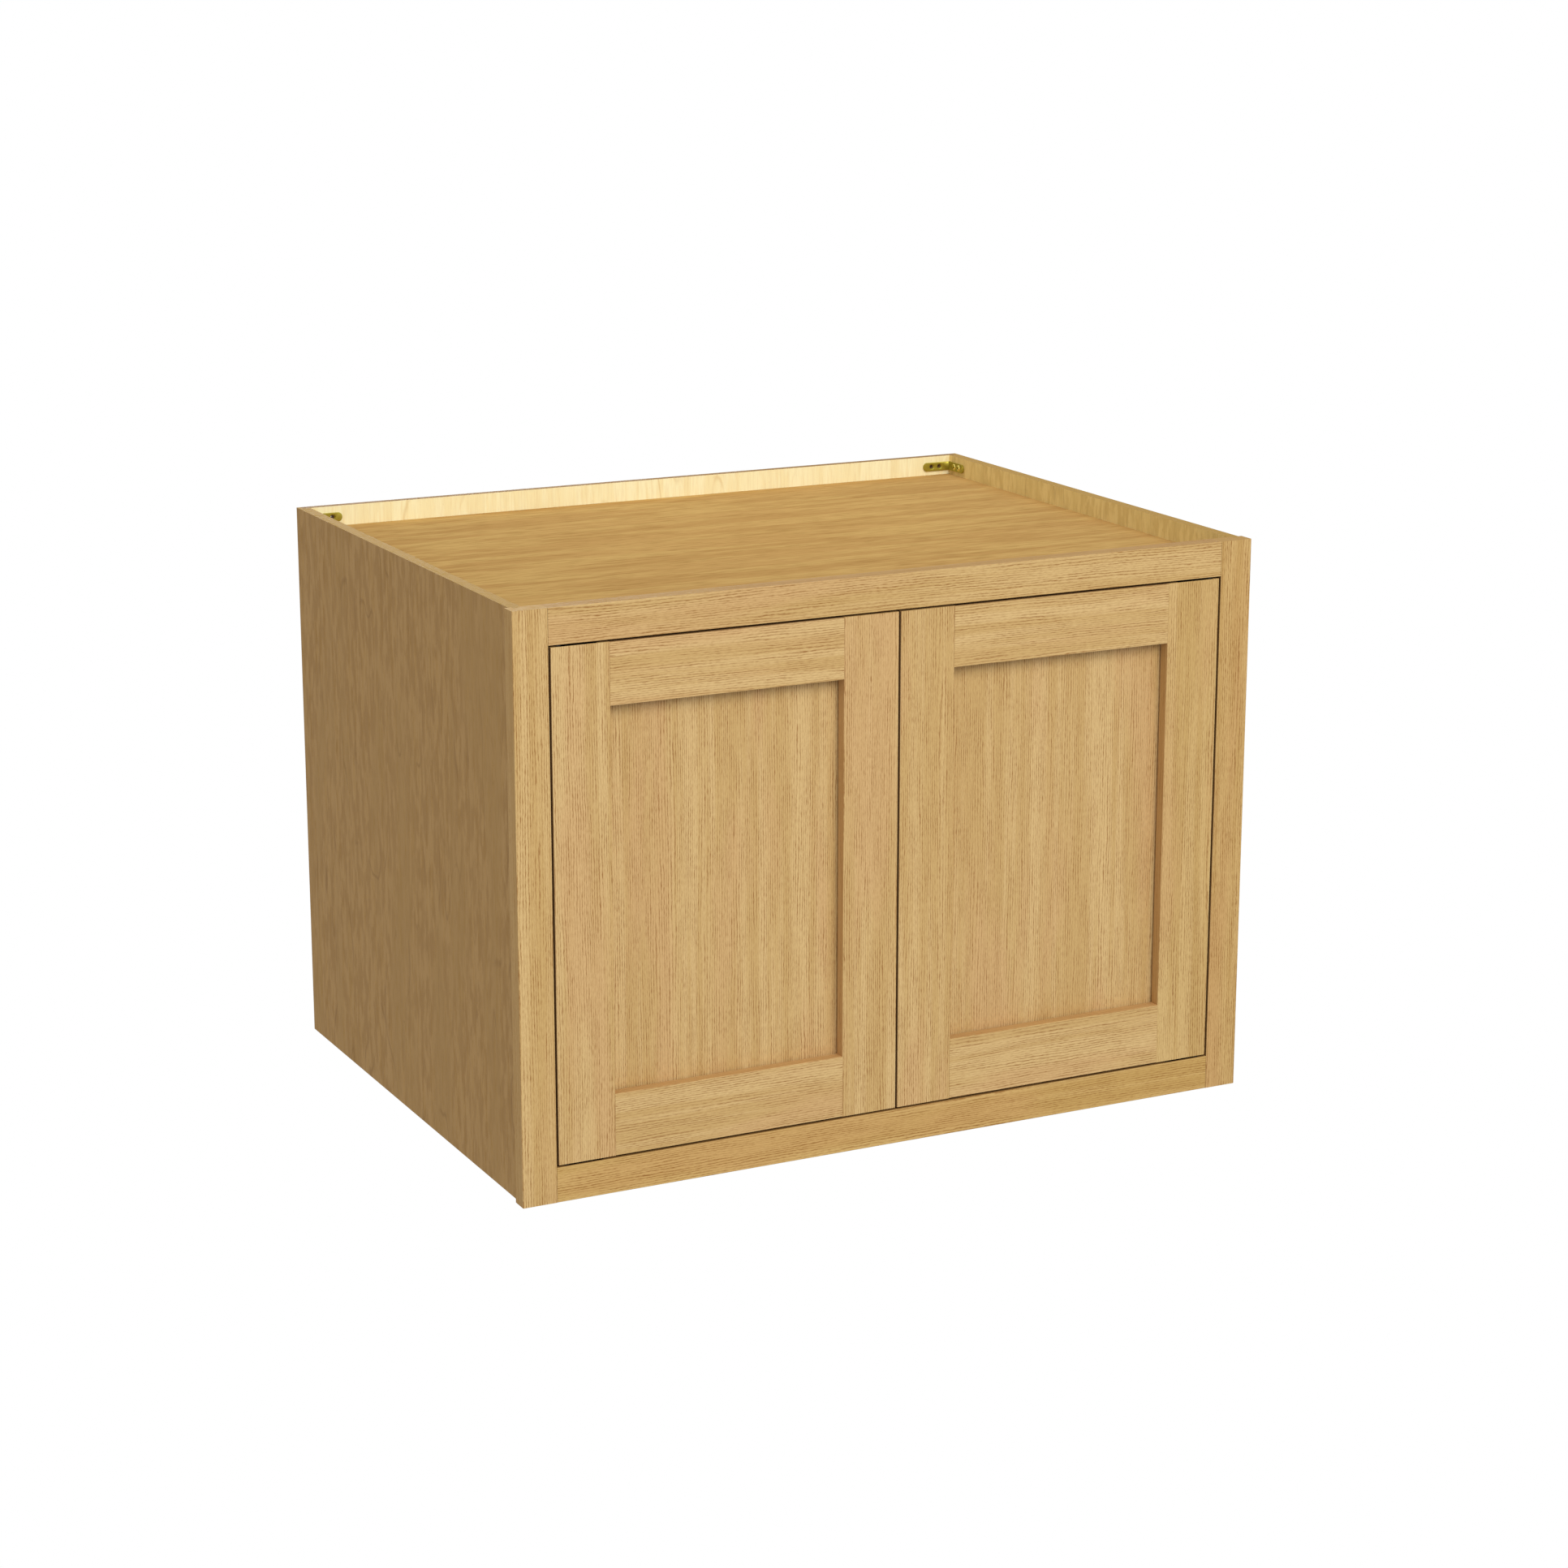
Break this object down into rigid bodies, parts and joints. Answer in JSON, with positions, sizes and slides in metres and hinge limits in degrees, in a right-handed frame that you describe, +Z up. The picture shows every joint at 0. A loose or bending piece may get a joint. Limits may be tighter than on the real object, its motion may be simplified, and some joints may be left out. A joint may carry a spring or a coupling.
{
  "type": "hanging wall cabinet",
  "caption": "Framed oak wall cabinet with two inset doors on hidden pivot hinges, an adjustable shelf and corner brackets for hanging.",
  "frame": {"origin": "middle of the cabinet's width and depth, at its bottom edge", "axes": "+X to the right seen from the front, +Y from the doors to the wall, +Z up"},
  "size_m": [0.8382, 0.6286, 0.6033],
  "materials": {
    "oak_solid_frame": "natural oak, satin clear lacquer",
    "oak_solid_door": "natural oak, satin clear lacquer",
    "oak_veneer_panel": "rift oak veneer, satin clear lacquer",
    "side_veneer": "maple-faced plywood, satin clear lacquer",
    "deck_veneer": "oak-faced plywood, clear lacquer",
    "maple_ply_back": "maple-faced plywood, clear lacquer",
    "hanging_rail_wood": "maple, clear lacquer",
    "maple_ply_shelf": "maple-faced plywood, clear lacquer",
    "oak_edging": "oak edging, clear lacquer",
    "yellow_zinc_steel": "yellow zinc plate on steel",
    "zinc_screw_steel": "clear zinc plate",
    "blackened_hinge_steel": "oil-blackened steel",
    "hinge_pin_steel": "ground steel",
    "black_acetal_washer": "moulded black acetal",
    "catch_plastic": "matte",
    "magnet_steel": "ground",
    "strike_steel": "zinc plate",
    "nickel_steel": "nickel plate"
  },
  "bodies": {
    "cabinet": {"face_frame_left_stile": "oak_solid_frame", "face_frame_right_stile": "oak_solid_frame", "face_frame_top_rail": "oak_solid_frame", "face_frame_bottom_rail": "oak_solid_frame", "left_side_panel": "side_veneer", "right_side_panel": "side_veneer", "top_panel": "deck_veneer", "bottom_panel": "deck_veneer", "back_panel": "maple_ply_back", "upper_hanging_rail": "hanging_rail_wood", "lower_hanging_rail": "hanging_rail_wood", "back_panel_screws": "zinc_screw_steel", "adjustable_shelf": "maple_ply_shelf", "shelf_edging": "oak_edging", "shelf_pins": "nickel_steel", "left_corner_bracket": "yellow_zinc_steel", "right_corner_bracket": "yellow_zinc_steel", "bracket_screws": "yellow_zinc_steel", "catch_housing": "catch_plastic", "catch_magnets": "magnet_steel", "catch_screws": "zinc_screw_steel", "left_upper_frame_leaf": "blackened_hinge_steel", "left_lower_frame_leaf": "blackened_hinge_steel", "right_upper_frame_leaf": "blackened_hinge_steel", "right_lower_frame_leaf": "blackened_hinge_steel", "hinge_pins": "hinge_pin_steel", "hinge_washers": "black_acetal_washer", "frame_leaf_screws": "blackened_hinge_steel"},
    "left_door": {"left_door_hinge_stile": "oak_solid_door", "left_door_meeting_stile": "oak_solid_door", "left_door_top_rail": "oak_solid_door", "left_door_bottom_rail": "oak_solid_door", "left_door_panel": "oak_veneer_panel", "left_door_leaf_screws": "blackened_hinge_steel", "left_door_strike": "strike_steel", "left_upper_door_leaf": "blackened_hinge_steel", "left_lower_door_leaf": "blackened_hinge_steel", "left_strike_screw": "zinc_screw_steel"},
    "right_door": {"right_door_hinge_stile": "oak_solid_door", "right_door_meeting_stile": "oak_solid_door", "right_door_top_rail": "oak_solid_door", "right_door_bottom_rail": "oak_solid_door", "right_door_panel": "oak_veneer_panel", "right_door_leaf_screws": "blackened_hinge_steel", "right_door_strike": "strike_steel", "right_upper_door_leaf": "blackened_hinge_steel", "right_lower_door_leaf": "blackened_hinge_steel", "right_strike_screw": "zinc_screw_steel"}
  },
  "joints": [
    {"name": "left_door_hinge", "type": "hinge", "parent": "cabinet", "child": "left_door", "pos_m": [-0.3706, -0.30883, 0.30162], "axis": [0, 0, -1], "range_deg": [0, 110]},
    {"name": "right_door_hinge", "type": "hinge", "parent": "cabinet", "child": "right_door", "pos_m": [0.3706, -0.30883, 0.30162], "axis": [0, 0, 1], "range_deg": [0, 110]}
  ]
}
